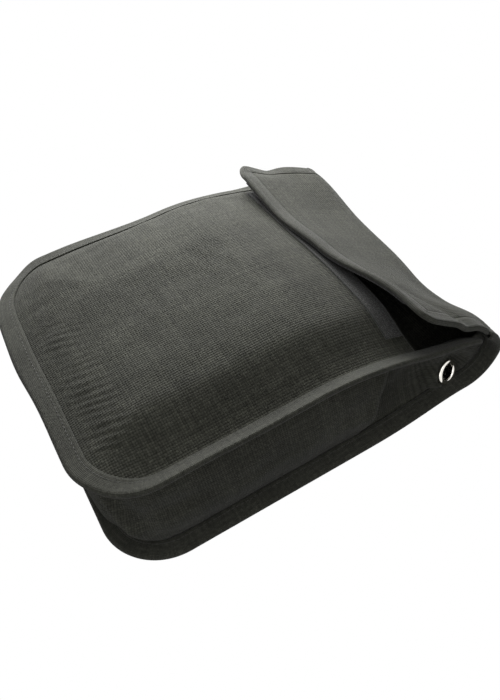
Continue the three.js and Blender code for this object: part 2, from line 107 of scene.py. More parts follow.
flap_slope = math.asin((fold.y - spine_y + spine_radius) / spine_radius)
front_drop = top_z - (fold.z - 1.07 * MM)
flat_length = spine_y - spine_radius - bottom_y
fold_length = flat_length + spine_radius * (math.pi - flap_slope)
mouth_length = mouth_y - bottom_y
tip_length = tip_y - bottom_y
flap_along = Vector((0, -math.cos(flap_slope), math.sin(flap_slope)))
flap_up = Vector((0, math.sin(flap_slope), math.cos(flap_slope)))

# ------------------------------------------------------------------ small helpers


def mix(a, b, share):
    return a + (b - a) * share


def ease(value, start, end):
    """0 before start, 1 after end and a smooth step between them."""
    share = min(max((value - start) / (end - start), 0), 1)
    return share * share * (3 - 2 * share)


def bump(value, centre, reach):
    """A smooth hill of height 1."""
    return math.exp(-(((value - centre) / reach) ** 2))


def ripple(point, scale, offset=0):
    """Smooth noise from -1 to 1 with hills about as wide as scale."""
    return noise.noise(Vector(point) / scale + Vector((offset, offset * 0.7, 0)))


# ---------------------------------------------------------------- the surfaces that every soft piece follows


def hinge_lift(x):
    """The far end of the hinge stands a little higher than the near one."""
    return hinge_lift_height * ease(-x, 40 * MM, 95 * MM)


def at_hinge(y, z):
    return ease(y, 84 * MM, 116 * MM) * ease(z, 20 * MM, 44 * MM)


def settled(point):
    """Where the slack of the cloth lets a point settle: one smooth field, so layers keep their order."""
    x, y, z = point
    top = ease(z, 48 * MM, 68 * MM)
    droop = ease(-x, 84 * MM, 106 * MM) * top * mix(4 * MM, 9 * MM, ease(y, -75 * MM, -10 * MM))
    droop *= 1 - ease(y, 84 * MM, 112 * MM)
    corner = ease(-x, 50 * MM, 100 * MM) * ease(-y, 88 * MM, 128 * MM) * top
    near_top = ease(x, 60 * MM, 104 * MM) * ease(y, 20 * MM, 105 * MM) ** 2 * (1 - ease(z, 14 * MM, 40 * MM))
    end = ease(-y, 112 * MM, 130 * MM) * ease(z, 50 * MM, 74 * MM)
    round_spine = ease(y, 96 * MM, 120 * MM) * ease(z, 8 * MM, 34 * MM)
    dent = -4 * MM * bump(x, 42 * MM, 26 * MM) + 5 * MM * bump(x, -95 * MM, 50 * MM)
    dent += 2.5 * MM * bump(x, 92 * MM, 18 * MM)
    wave = ripple(point, 38 * MM, 3.1)
    end_shift = 0.8 * MM * wave * end - 2.5 * MM * end * bump(x, -20 * MM, 34 * MM)
    raised = 4.5 * MM * ease(x, 60 * MM, 88 * MM) * ease(y, 70 * MM, 116 * MM) * ease(z, 26 * MM, 44 * MM)
    at_edge = max(ease(abs(x), 90 * MM, 104 * MM), ease(-y, 116 * MM, 130 * MM)) * ease(z, 6 * MM, 20 * MM)
    return Vector((
        x + 2 * MM * corner,
        y + dent * round_spine + end_shift + 4.5 * MM * corner,
        z - droop - 4 * MM * corner + 7 * MM * near_top + raised
        + hinge_lift(x) * at_hinge(y, z) + 1.1 * MM * wave * at_edge,
    ))


def on_back(x, length, height):
    """A point above the outer face of the back, which turns up into the spine after its flat length."""
    if length <= flat_length:
        return settled((x, bottom_y + length, height))
    angle = (length - flat_length) / spine_radius
    reach = spine_radius - height
    y = spine_y - spine_radius + reach * math.sin(angle)
    return settled((x, y, spine_radius - reach * math.cos(angle)))


def flap_rise(x, distance):
    """Height of the flap over its plane: close at the far side, and off the mouth at the near one."""
    share = distance / flap_length
    far_curl = 8.5 * MM * ease(-x, 86 * MM, 106 * MM)
    edge = far_curl - 2.2 * MM + 4.8 * MM * ease(x, -40 * MM, 10 * MM) + 13.5 * MM * ease(x, 5 * MM, 82 * MM)
    steep = ease(x, 60 * MM, 104 * MM)
    crease = -2.4 * MM * bump(distance - 34 * MM, -0.5 * (x - 78 * MM), 7 * MM) * ease(x, 30 * MM, 80 * MM)
    return edge * mix(mix(0.6, 1, share) * share, share ** 0.75, steep) + crease * math.sin(math.pi * share)


def on_flap(x, distance, depth):
    """A point under the outer face of the flap, at a distance from its fold."""
    point = Vector((x, fold.y, fold.z)) + flap_along * distance + flap_up * (flap_rise(x, distance) - depth)
    place = settled(point)
    place.z += hinge_lift(x) * (1 - at_hinge(point.y, point.z))
    return place


def front_height(y):
    return top_z - front_drop * max(0, y / tip_y) ** front_fall


def near_groove(x, y):
    """The near side flange is turned up at its edge, so its seam and the panel beside it lie lower."""
    inset = half_width - x
    depth = min(inset / flange_width, 1) * (1 - ease(inset, flange_width + 2 * MM, 46 * MM))
    return groove_depth * depth * ease(y, -126 * MM, -84 * MM)


def on_front(x, y, depth):
    """A point under the outer face of the front flange."""
    return settled((x, y, front_height(y) - near_groove(x, y) * (1 - 0.5 * ease(y, 84 * MM, tip_y)) - depth))


def inset_of(x, length, radius=corner_radius):
    """How far a place is in from the pouch's edge, which is rounded at the bottom corners."""
    to_side = half_width - abs(x)
    if to_side < radius and length < radius:
        return radius - math.hypot(radius - to_side, radius - length)
    return min(to_side, length)


def on_panel(x, y, height):
    """A point over the front panel's own cloth, which puffs up inside its seam."""
    room = inset_of(x, y - bottom_y) - flange_width
    share = min(max(room / crown_reach, 0), 1)
    puff = 1 - (1 - share) ** 2.1
    mouth = ease(y, mouth_y - 70 * MM, mouth_y)
    crown = mix(front_crown, mouth_crown, mouth)
    sag = 2.5 * MM * mouth * ease(-x, -20 * MM, 60 * MM)
    arch = 2.0 * MM * mouth * bump(x, 25 * MM, 45 * MM)
    pucker = 0.8 * MM * ripple((x * 2.2, y * 0.8, 0), 17 * MM, 7.7) * bump(room, 10 * MM, 12 * MM)
    far_puffs = 1.3 * MM * math.sin(math.tau * (y / (25 * MM) + 0.6 * ripple((0, y, 0), 40 * MM, 9.1)))
    pucker += far_puffs * bump(room, 13 * MM, 9 * MM) * ease(-x, 40 * MM, 90 * MM)
    lines = x - 0.42 * (y - bottom_y) + 2.6 * MM * ripple((x, y * 0.6, 0), 18 * MM, 4.4)
    strength = mix(0.15, 0.62, ease(ripple((x, y * 0.5, 0), 15 * MM, 8.3), -0.5, 0.5))
    fine = strength * MM * math.sin(math.tau * lines / (5.4 * MM)) * bump(y - bottom_y, 25 * MM, 15 * MM)
    fine *= ease(x, -45 * MM, -5 * MM) * (1 - ease(x, 72 * MM, 92 * MM))
    slack = 0.7 * MM * ripple((x, y * 0.55, 0), 26 * MM, 1.9)
    slack += 0.35 * MM * ripple((x * 0.7, y, 0), 9 * MM, 6.6)
    relief = (pucker + fine + slack * (1 - mouth)) * share ** 0.5
    return on_front(x, y, 1.0 * MM - (crown - sag + arch) * puff - relief - height)


# ------------------------------------------------------------------ cloth grids


def on_rings(half, length, radius, far_radius, columns, rows, i, j):
    """Flat place of a grid point, where the grid's rings run parallel to a rounded outline.

    The outline is rounded at length 0 with radius. Its far end is rounded with far_radius, or open if None.
    """
    pitch = half / (columns / 2)
    closed = far_radius is not None
    ring = min(i, columns - i, j, rows - j if closed else j)
    width = half - ring * pitch
    hand = 1 if i > columns / 2 else -1
    for end, bend, step in ((0, radius, j), (1, far_radius, rows - j)):
        if step != ring or (end and not closed):
            continue
        if min(i, columns - i) < ring or columns == 2 * ring:
            continue
        curve = max(bend - ring * pitch, 0)
        total = math.pi / 4 * curve + width - curve
        run = abs((i - columns / 2) / (columns / 2 - ring)) * total
        past = max(run - (width - curve), 0)
        angle = past / curve if curve > 0 else 0
        x = min(run, width - curve) + curve * math.sin(angle)
        along = ring * pitch + curve * (1 - math.cos(angle))
        return hand * x, (length - along if end else along)
    near = max(radius - ring * pitch, 0)
    low = ring * pitch
    far = max(far_radius - ring * pitch, 0) if closed else 0
    high = length - ring * pitch if closed else length
    near_arc, far_arc = math.pi / 4 * near, math.pi / 4 * far
    straight = (high - far) - (low + near)
    total = near_arc + straight + far_arc
    steps = rows - 2 * ring if closed else rows - ring
    run = (j - ring) / max(steps, 1) * total
    if run < near_arc:
        angle = math.pi / 4 - run / near
        return hand * (width - near + near * math.cos(angle)), low + near * (1 - math.sin(angle))
    if run > near_arc + straight:
        angle = (run - near_arc - straight) / far
        return hand * (width - far + far * math.cos(angle)), high - far * (1 - math.sin(angle))
    return hand * width, low + near + run - near_arc


def cloth_piece(name, columns, rows, flat_place, place, thickness, material):
    """A sheet from a grid: each point's flat place is its UV in metres, and place puts it in space."""
    mesh = bmesh.new()
    bmesh.ops.create_grid(mesh, x_segments=columns, y_segments=rows, size=1)
    flat = {}
    for vertex in mesh.verts:
        i = round((vertex.co.x + 1) / 2 * columns)
        j = round((vertex.co.y + 1) / 2 * rows)
        flat[vertex] = Vector(flat_place(i, j))
    uv = mesh.loops.layers.uv.new("flat")
    for face in mesh.faces:
        face.smooth = True
        for loop in face.loops:
            loop[uv].uv = flat[loop.vert]
    for vertex in mesh.verts:
        vertex.co = place(*flat[vertex])
    data = bpy.data.meshes.new(name)
    mesh.to_mesh(data)
    mesh.free()
    piece = bpy.data.objects.new(name, data)
    bpy.context.scene.collection.objects.link(piece)
    if thickness:
        wall = piece.modifiers.new("thickness", "SOLIDIFY")
        wall.thickness = thickness
        wall.offset = -1
    piece.data.materials.append(material)
    return piece


def edge_point(half, radius, run):
    """A point on an edge with round bottom corners, at a run from its middle, and its inward way."""
    hand = 1 if run >= 0 else -1
    run = abs(run)
    flat = half - radius
    arc = math.pi / 2 * radius
    if run <= flat:
        return hand * run, 0, 0, 1
    if run <= flat + arc:
        angle = (run - flat) / radius
        x = flat + radius * math.sin(angle)
        return hand * x, radius * (1 - math.cos(angle)), -hand * math.sin(angle), math.cos(angle)
    return hand * half, radius + run - flat - arc, -hand, 0


def folded_section(share, width, thickness):
    """Inset and level round a tape folded over an edge, from its outer leg's end to its inner leg's end."""
    fold_at = thickness / 2
    legs = width - fold_at
    total = 2 * legs + math.pi * fold_at
    run = share * total
    pinch = 0.25 * MM
    if run < legs:
        return width - run, tape_thickness / 2 + pinch * bump(width - run, 8.5 * MM, 2 * MM)
    if run < legs + math.pi * fold_at:
        angle = (run - legs) / fold_at
        return fold_at * (1 - math.sin(angle)), fold_at - fold_at * math.cos(angle)
    back = run - legs - math.pi * fold_at
    return fold_at + back, thickness - tape_thickness / 2 - pinch * bump(fold_at + back, 8.5 * MM, 2 * MM)


# ------------------------------------------------------------------ materials


def socket(group, kind, name, in_out, value=None):
    made = group.interface.new_socket(name=name, in_out=in_out, socket_type=kind)
    if value is not None:
        made.default_value = value


class Nodes:
    """Short ways to add nodes to a node tree."""

    def __init__(self, tree):
        self.tree = tree

    def add(self, kind, **settings):
        node = self.tree.nodes.new(kind)
        for name, value in settings.items():
            setattr(node, name, value)
        return node

    def link(self, source, target):
        self.tree.links.new(source, target)

    def feed(self, target, value):
        if isinstance(value, (int, float, tuple)):
            target.default_value = value
        else:
            self.link(value, target)

    def math(self, operation, a, b=0.0, clamp=False):
        node = self.add("ShaderNodeMath", operation=operation, use_clamp=clamp)
        self.feed(node.inputs[0], a)
        self.feed(node.inputs[1], b)
        return node.outputs[0]

    def noise(self, vector, scale, detail=2.0, roughness=0.5):
        node = self.add("ShaderNodeTexNoise")
        self.feed(node.inputs["Vector"], vector)
        self.feed(node.inputs["Scale"], scale)
        node.inputs["Detail"].default_value = detail
        node.inputs["Roughness"].default_value = roughness
        return node.outputs["Fac"]

    def ramp(self, value, low, high, to_low=0.0, to_high=1.0):
        node = self.add("ShaderNodeMapRange", interpolation_type="SMOOTHSTEP")
        self.feed(node.inputs["Value"], value)
        for name, number in (("From Min", low), ("From Max", high), ("To Min", to_low), ("To Max", to_high)):
            node.inputs[name].default_value = number
        return node.outputs[0]


def make_weave():
    """Plain weave: threads of a pitch in metres, over and under each other, each a little lighter or darker.
    """
    group = bpy.data.node_groups.new("plain_weave", "ShaderNodeTree")
    socket(group, "NodeSocketVector", "Place", "INPUT")
    socket(group, "NodeSocketFloat", "Pitch", "INPUT", 0.001)
    socket(group, "NodeSocketFloat", "Height", "OUTPUT")
    socket(group, "NodeSocketFloat", "Thread Tone", "OUTPUT")
    n = Nodes(group)
    given = n.add("NodeGroupInput")
    result = n.add("NodeGroupOutput")
    parts = n.add("ShaderNodeSeparateXYZ")
    n.link(given.outputs["Place"], parts.inputs[0])
    along = [n.math("DIVIDE", parts.outputs[axis], given.outputs["Pitch"]) for axis in (0, 1)]
    waver = n.noise(given.outputs["Place"], 260.0)
    along = [n.math("ADD", a, n.math("MULTIPLY", waver, 0.5)) for a in along]
    heights = []
    tones = []
    for a, b, shift in ((along[0], along[1], 0.0), (along[1], along[0], 1.0)):
        thread = n.math("FLOOR", a)
        across = n.math("ABSOLUTE", n.math("SINE", n.math("MULTIPLY", a, math.pi)))
        turn = n.math("ADD", n.math("ADD", b, thread), shift)
        over = n.math("ADD", n.math("MULTIPLY", n.math("SINE", n.math("MULTIPLY", turn, math.pi)), 0.5), 0.5)
        # This height is also used in woven's colour, where it is painted shade in the dips and painted
        # highlight on the crowns.
        heights.append(n.math("MULTIPLY", n.math("POWER", across, 0.6), over))
        lot = n.add("ShaderNodeTexWhiteNoise", noise_dimensions="1D")
        n.feed(lot.inputs["W"], n.math("ADD", thread, shift * 57.3))
        tones.append(n.math("MULTIPLY", lot.outputs["Value"], over))
    top = n.math("MAXIMUM", heights[0], heights[1])
    n.link(top, result.inputs["Height"])
    n.link(n.math("ADD", tones[0], tones[1], clamp=True), result.inputs["Thread Tone"])
    return group


def make_fuzz():
    """Lint and wear on dyed cloth, as two masks, on a place in metres."""
    group = bpy.data.node_groups.new("lint_and_wear", "ShaderNodeTree")
    socket(group, "NodeSocketVector", "Place", "INPUT")
    socket(group, "NodeSocketFloat", "Lint", "OUTPUT")
    socket(group, "NodeSocketFloat", "Wear", "OUTPUT")
    n = Nodes(group)
    given = n.add("NodeGroupInput")
    result = n.add("NodeGroupOutput")
    place = given.outputs["Place"]
    speck = n.ramp(n.noise(place, 900.0, 3.0, 0.7), 0.45, 0.8)
    n.link(speck, result.inputs["Lint"])
    broad = n.ramp(n.noise(place, 34.0, 4.0, 0.6), 0.3, 0.7)
    n.link(broad, result.inputs["Wear"])
    return group


weave = make_weave()
fuzz = make_fuzz()


def place_group(n, group, place, pitch=None):
    node = n.add("ShaderNodeGroup", node_tree=group)
    n.link(place, node.inputs["Place"])
    if pitch is not None:
        node.inputs["Pitch"].default_value = pitch
    return node


def new_material(name):
    material = bpy.data.materials.new(name)
    material.use_nodes = True
    return material, Nodes(material.node_tree), material.node_tree.nodes["Principled BSDF"]


def woven(name, dark, light, pitch, depth, roughness=0.9, sheen=0.25, fold_wear=0.5):
    """Woven cloth in two colours of one dye, with its weave in the normals; the weave's height also mixes the
    colours as painted shade in the dips between threads and painted highlight on their crowns.
    """
    material, n, shader = new_material(name)
    uv = n.add("ShaderNodeUVMap", uv_map="flat").outputs[0]
    here = n.add("ShaderNodeTexCoord").outputs["Object"]
    threads = place_group(n, weave, uv, pitch)
    lint = place_group(n, fuzz, here)
    # Painted shade and highlight: the weave's height darkens the dips and gaps between threads and lightens
    # their crowns; each thread's own tone, lint, mottle and wear are the cloth's real variation.
    tone = n.math("ADD", n.math("MULTIPLY", threads.outputs["Height"], 0.55),
                  n.math("MULTIPLY", threads.outputs["Thread Tone"], 0.35))
    tone = n.math("ADD", tone, n.math("MULTIPLY", lint.outputs["Lint"], 0.3))
    mottle = n.ramp(n.noise(uv, 420.0, 2.0, 0.6), 0.32, 0.68, 0.72, 1.22)
    tone = n.math("MULTIPLY", tone, mottle)
    worn = n.ramp(lint.outputs["Wear"], 0.0, 1.0, 1 - fold_wear * 0.5, 1.0)
    tone = n.math("MULTIPLY", tone, worn, clamp=True)
    colour = n.add("ShaderNodeMix", data_type="RGBA")
    n.link(tone, colour.inputs["Factor"])
    colour.inputs["A"].default_value = (*dark, 1)
    colour.inputs["B"].default_value = (*light, 1)
    n.link(colour.outputs["Result"], shader.inputs["Base Color"])
    relief = n.add("ShaderNodeBump")
    relief.inputs["Strength"].default_value = 1.0
    relief.inputs["Distance"].default_value = depth
    high = n.math("ADD", threads.outputs["Height"], n.math("MULTIPLY", lint.outputs["Lint"], 0.25))
    n.link(high, relief.inputs["Height"])
    n.link(relief.outputs["Normal"], shader.inputs["Normal"])
    n.link(n.ramp(lint.outputs["Lint"], 0.0, 1.0, roughness - 0.08, roughness), shader.inputs["Roughness"])
    shader.inputs["Sheen Weight"].default_value = sheen
    shader.inputs["Sheen Roughness"].default_value = 0.45
    shader.inputs["Specular IOR Level"].default_value = 0.2
    return material


def piled(name, dark, light, scale, depth):
    """The loops or hooks of a touch fastener."""
    material, n, shader = new_material(name)
    uv = n.add("ShaderNodeUVMap", uv_map="flat").outputs[0]
    cells = n.add("ShaderNodeTexVoronoi")
    n.link(uv, cells.inputs["Vector"])
    cells.inputs["Scale"].default_value = scale
    curls = n.noise(uv, scale * 1.7, 3.0, 0.6)
    # One pattern makes both the colour and the bump: painted shade where the pile lies low and painted
    # highlight where it stands high.
    tone = n.ramp(n.math("ADD", cells.outputs["Distance"], curls), 0.4, 1.1)
    colour = n.add("ShaderNodeMix", data_type="RGBA")
    n.link(tone, colour.inputs["Factor"])
    colour.inputs["A"].default_value = (*dark, 1)
    colour.inputs["B"].default_value = (*light, 1)
    n.link(colour.outputs["Result"], shader.inputs["Base Color"])
    relief = n.add("ShaderNodeBump")
    relief.inputs["Strength"].default_value = 1.0
    relief.inputs["Distance"].default_value = depth
    n.link(tone, relief.inputs["Height"])
    n.link(relief.outputs["Normal"], shader.inputs["Normal"])
    shader.inputs["Roughness"].default_value = 0.8
    shader.inputs["Sheen Weight"].default_value = 0.3
    return material


def plated(name):
    """Bright nickel plate with fine tumbling marks."""
    material, n, shader = new_material(name)
    here = n.add("ShaderNodeTexCoord").outputs["Object"]
    marks = n.noise(here, 1400.0, 4.0, 0.7)
    shader.inputs["Base Color"].default_value = (0.86, 0.83, 0.77, 1)
    shader.inputs["Metallic"].default_value = 1.0
    shader.inputs["Roughness"].default_value = 0.0
    relief = n.add("ShaderNodeBump")
    relief.inputs["Strength"].default_value = 0.12
    relief.inputs["Distance"].default_value = 0.05 * MM
    n.link(marks, relief.inputs["Height"])
    n.link(relief.outputs["Normal"], shader.inputs["Normal"])
    return material


# Each woven cloth's dark colour is partly painted shade in the dips between its threads, and its light colour
# is partly painted highlight on their crowns; the weave's height mixes the two.
canvas = woven(
    "charcoal_canvas", (0.009, 0.0094, 0.0068), (0.088, 0.0895, 0.07), 1.5 * MM, 0.42 * MM, sheen=0.12
)
tape = woven(
    "charcoal_binding_tape", (0.014, 0.0144, 0.011), (0.09, 0.0915, 0.074), 0.9 * MM, 0.26 * MM, sheen=0.15
)
thread = woven("charcoal_thread", (0.03, 0.03, 0.027), (0.1, 0.1, 0.09), 0.4 * MM, 0.05 * MM, roughness=0.7)
# The pile's dark colour is partly painted shade in its hollows, and its light colour is partly painted
# highlight on its raised tufts.
loop_pile = piled("black_loop_pile", (0.008, 0.008, 0.008), (0.045, 0.045, 0.042), 1400.0, 0.5 * MM)
hook_pile = piled("black_hooks", (0.01, 0.01, 0.01), (0.05, 0.05, 0.05), 1000.0, 0.5 * MM)
webbing = woven(
    "black_webbing", (0.008, 0.008, 0.008), (0.04, 0.04, 0.04), 1.6 * MM, 0.35 * MM, roughness=0.7
)
glass_cloth = woven(
    "white_glass_cloth", (0.5, 0.49, 0.45), (0.78, 0.77, 0.73), 0.9 * MM, 0.1 * MM,
    roughness=0.6, fold_wear=0.15,
)
nickel = plated("bright_nickel")

# ------------------------------------------------------------------ the cloth pieces of the pouch

grid_pitch = 2.0 * MM
front_pitch = 1.25 * MM
seam_press = 0.9 * MM
canvas_inset = 1.5 * MM


def ride_and_say(piece, body, slot, *nodes):
    if nodes:
        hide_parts(*nodes)
    if body == "flap":
        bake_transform(piece)
    else:
        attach(piece, body)


def back_place(x, length):
    """The back, spine and flap are one cloth: its outer face, pressed in under the binding tapes."""
    press = seam_press * (1 - ease(inset_of(x, length), tape_width - 2 * MM, tape_width + 2 * MM))
    if length <= fold_length:
        return on_back(x, length, press)
    share = flap_half / half_width
    distance = length - fold_length
    to_end = flap_length - distance
    to_side = flap_half - abs(x) * share
    edge = min(to_side, to_end)
    if to_side < flap_corner_radius and to_end < flap_corner_radius:
        reach = math.hypot(flap_corner_radius - to_side, flap_corner_radius - to_end)
        edge = flap_corner_radius - reach
    press = seam_press * (1 - ease(edge, flap_tape_width - 2 * MM, flap_tape_width + 2 * MM))
    return on_flap(x * share, distance, press)


def make_back():
    half = half_width - canvas_inset
    length = fold_length + flap_length - 2 * canvas_inset
    columns = 2 * round(half / grid_pitch)
    rows = round(length / grid_pitch)

    def flat(i, j):
        x, run = on_rings(
            half, length, corner_radius - canvas_inset, flap_corner_radius - canvas_inset, columns, rows, i, j
        )
        return x, run + canvas_inset

    piece = cloth_piece("back_and_flap_canvas", columns, rows, flat, back_place, canvas_thickness, canvas)
    piece.modifiers["thickness"].offset = 1
    ride_and_say(piece, "flap", "canvas", "back_panel", "flap_panel")


def make_front():
    half = half_width - canvas_inset
    length = mouth_length - canvas_inset
    columns = 2 * round(half / front_pitch)
    rows = round(length / front_pitch)

    def flat(i, j):
        x, run = on_rings(half, length, corner_radius - canvas_inset, None, columns, rows, i, j)
        return x, run + canvas_inset

    piece = cloth_piece(
        "front_canvas", columns, rows, flat, lambda x, run: on_panel(x, bottom_y + run, 0),
        canvas_thickness, canvas,
    )
    ride_and_say(piece, "pouch", "canvas", "front_panel", "mouth_hem")


# The gusset runs round the bottom and both sides, from tip to tip.
corner_arc = math.pi / 2 * corner_radius
mouth_run = half_width - corner_radius + corner_arc + mouth_length - corner_radius
tip_run = mouth_run + tip_length - mouth_length
spine_share = 0.25


def back_length_at(run):
    """How far along the back the gusset's lower seam is, where its upper seam is at a run past the mouth."""
    share = (run - mouth_run) / (tip_run - mouth_run)
    if share < spine_share:
        return mix(mouth_length, flat_length, share / spine_share)
    return mix(flat_length, fold_length, (share - spine_share) / (1 - spine_share))


def gusset_edges(run, inset, level):
    """The points on both seams of the gusset at a run round the front flange's edge, and its outward way."""
    x, length, in_x, in_y = edge_point(half_width, corner_radius, run)
    high = on_front(x + in_x * inset, bottom_y + length + in_y * inset, level)
    back_length = back_length_at(abs(run)) if abs(run) > mouth_run else length
    low = on_back(x + in_x * inset, back_length + in_y * inset, level)
    return low, high, Vector((-in_x, -in_y, 0))


def gusset_out(point, way, share, run):
    """How far the gusset's wall stands out: full over the blanket, sunken past the blanket's end."""
    end = mix(33 * MM, 56 * MM, share)
    past = ease(point.y, end - 5 * MM, end + 9 * MM)
    rise = math.sin(math.pi * share) ** 0.75
    full = gusset_bulge * rise * (1 - past)
    side = abs(way.x) ** 4
    hollow = 6 * MM * rise * past * bump(point.y, 66 * MM, 26 * MM)
    fold_ridge = 1.6 * MM * bump(point.y, end - 3 * MM, 5 * MM) * rise
    sag = 1.8 * MM * bump(share, 0.36, 0.16) * (1 - past)
    near_tip = 3.0 * MM * rise * ease(point.y, 84 * MM, 108 * MM)
    wrinkle = 1.5 * MM * ripple((run, share * 30 * MM, 0), 21 * MM, 2.3)
    wrinkle += 0.8 * MM * ripple((run * 0.5, share * 70 * MM, 0.02), 9 * MM, 5.1)
    ridge_run = half_width - corner_radius + mix(0.75, 0.15, share) * corner_arc
    beside = abs(run) - ridge_run
    hollows = bump(beside, 13 * MM, 8 * MM) + bump(beside, -12 * MM, 8 * MM)
    ridge = 3.2 * MM * bump(beside, 0, 5 * MM) - 2.6 * MM * hollows
    crease_run = half_width - corner_radius + 0.95 * corner_arc
    crease = -2.6 * MM * bump(abs(run), crease_run, 22 * MM) * bump(share, 0.62, 0.1)
    second = 2.4 * MM * bump(point.y, end + 17 * MM, 4.5 * MM) * ease(share, 0.35, 0.8)
    side_folds = (fold_ridge + second * rise + near_tip - hollow) * side
    return full + side_folds + sag + (wrinkle + crease + ridge) * rise


def eyelet_facing(centre):
    """The eyelets look outwards, a little up and towards the spine."""
    return Vector((math.copysign(0.918, centre.x), 0.26, 0.287)).normalized()


def eyelet_centres():
    centres = []
    for side in ("right", "left"):
        low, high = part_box(f"{side}_eyelet")
        centre = (low + high) / 2
        centre.x = math.copysign(max(abs(low.x), abs(high.x)) - 0.4 * MM, centre.x)
        centres.append(centre)
    return centres


eyelets = eyelet_centres()


def laid_on_eyelet(point):
    """The wall is flat round each eyelet, where the metal holds it."""
    for centre in eyelets:
        off = point - centre
        if max(abs(off.x), abs(off.y), abs(off.z)) > 20 * MM:
            continue
        facing = eyelet_facing(centre)
        near = 1 - ease(math.hypot(off.y, off.z), cloth_held_to, cloth_free_from)
        lean = (off.y * facing.y + off.z * facing.z) / facing.x
        flat_x = centre.x - math.copysign(0.8 * MM, centre.x) - lean
        point.x = mix(point.x, flat_x, near)
    return point


def make_gusset():
    wall_rows = 34
    hidden_rows = 3
    rows = wall_rows + 2 * hidden_rows
    columns = 2 * round(tip_run / grid_pitch)
    hidden = 7 * MM
    level = 3.05 * MM

    def flat(i, j):
        run = mix(-tip_run + canvas_inset, tip_run - canvas_inset, i / columns)
        return run, (j - hidden_rows) / wall_rows * gusset_wall

    def place(run, up):
        share = up / gusset_wall
        edge = max(0, -share, share - 1) * wall_rows / hidden_rows
        low, high, way = gusset_edges(run, flange_width - hidden * min(edge, 1), level)
        if share <= 0:
            return low
        if share >= 1:
            return high
        point = low.lerp(high, share)
        return laid_on_eyelet(point + way * gusset_out(point, way, share, run))

    piece = cloth_piece("gusset_canvas", columns, rows, flat, place, canvas_thickness, canvas)
    cut = bmesh.new()
    cut.from_mesh(piece.data)
    for centre in eyelets:
        near = [
            face for face in cut.faces
            if (face.calc_center_median() - centre).length < eyelet_hole
        ]
        bmesh.ops.delete(cut, geom=near, context="FACES")
    cut.to_mesh(piece.data)
    cut.free()
    ride_and_say(piece, "pouch", "canvas", "gusset")


# ------------------------------------------------------------------ bindings


def make_binding(name, total, width, thickness, place, body, nodes):
    """A tape folded over an edge, swept along a run from -total to total."""
    rows = 18
    columns = 2 * round(total / grid_pitch)
    length = 2 * width + thickness

    def flat(i, j):
        return mix(-total, total, i / columns), j / rows * length

    def swept(run, up):
        inset, level = folded_section(up / length, width, thickness)
        return place(run, inset, level)

    piece = cloth_piece(name, columns, rows, flat, swept, tape_thickness, tape)
    piece.modifiers["thickness"].offset = 0
    ride_and_say(piece, body, "binding_tape", *nodes)


back_run = half_width - corner_radius + corner_arc + fold_length - corner_radius
flap_corner_arc = math.pi / 2 * flap_corner_radius
flap_run = flap_half - flap_corner_radius + flap_corner_arc + flap_length - flap_corner_radius


def back_tape(run, inset, level):
    x, length, in_x, in_y = edge_point(half_width, corner_radius, run)
    return on_back(x + in_x * inset, length + in_y * inset, level - 0.3 * MM * ease(length, 0, 1))


def front_tape(run, inset, level):
    x, length, in_x, in_y = edge_point(half_width, corner_radius, run)
    taper = ease(abs(run), tip_run - 30 * MM, tip_run)
    inset *= mix(1, 0.5, taper)
    return on_front(x + in_x * inset, bottom_y + length + in_y * inset, level * mix(1, 0.6, taper))


def flap_tape(run, inset, level):
    x, length, in_x, in_y = edge_point(flap_half, flap_corner_radius, run)
    return on_flap(x + in_x * inset, flap_length - length - in_y * inset, level - 0.15 * MM)


def make_bindings():
    make_binding(
        "back_binding_tape", back_run - 0.4 * MM, tape_width, flange_thickness, back_tape, "pouch",
        ["back_binding"],
    )
    make_binding(
        "front_binding_tape", tip_run, tape_width, flange_thickness, front_tape, "pouch",
        ["front_binding"],
    )
    make_binding(
        "flap_binding_tape", flap_run - 0.4 * MM, flap_tape_width, flap_thickness, flap_tape, "flap",
        ["flap_binding"],
    )


# ------------------------------------------------------------------ touch fastener strips


def make_strip(name, place, thickness, material, slot, node, body):
    columns = round(2 * strip_half / (1.0 * MM))
    rows = 14

    def flat(i, j):
        return mix(-strip_half, strip_half, i / columns), j / rows * strip_width

    def tufted(x, across):
        tuft = 0.18 * MM * ripple((x, across, 0), 0.9 * MM, 1.3)
        return place(x, across, thickness + tuft)

    piece = cloth_piece(name, columns, rows, flat, tufted, thickness, material)
    ride_and_say(piece, body, slot, node)


def on_loop_strip(x, across, height):
    return on_panel(x, mouth_y - strip_setback - strip_width + across, height + 0.15 * MM)


def on_hook_strip(x, across, height):
    distance = flap_length - strip_setback - strip_width + across
    return on_flap(x, distance, flap_thickness + 0.1 * MM + height)


# ------------------------------------------------------------------ stitching


def stitch(mesh, place, run, length, width):
    """One short stitch: a flattened bead of thread that follows place(run)."""
    start, end = place(run - length / 2, 0), place(run + length / 2, 0)
    along = end - start
    centre = (start + end) / 2
    up = (place(run, 1 * MM) - place(run, 0)).normalized()
    side = along.normalized().cross(up)
    turned = Matrix((along.normalized(), side.normalized(), up)).transposed().to_4x4()
    size = Matrix.Diagonal((length / 2, width / 2, width / 2.4, 1))
    where = Matrix.Translation(centre) @ turned @ size
    bmesh.ops.create_uvsphere(mesh, u_segments=6, v_segments=4, radius=1, matrix=where)


stitches_per_run = 40


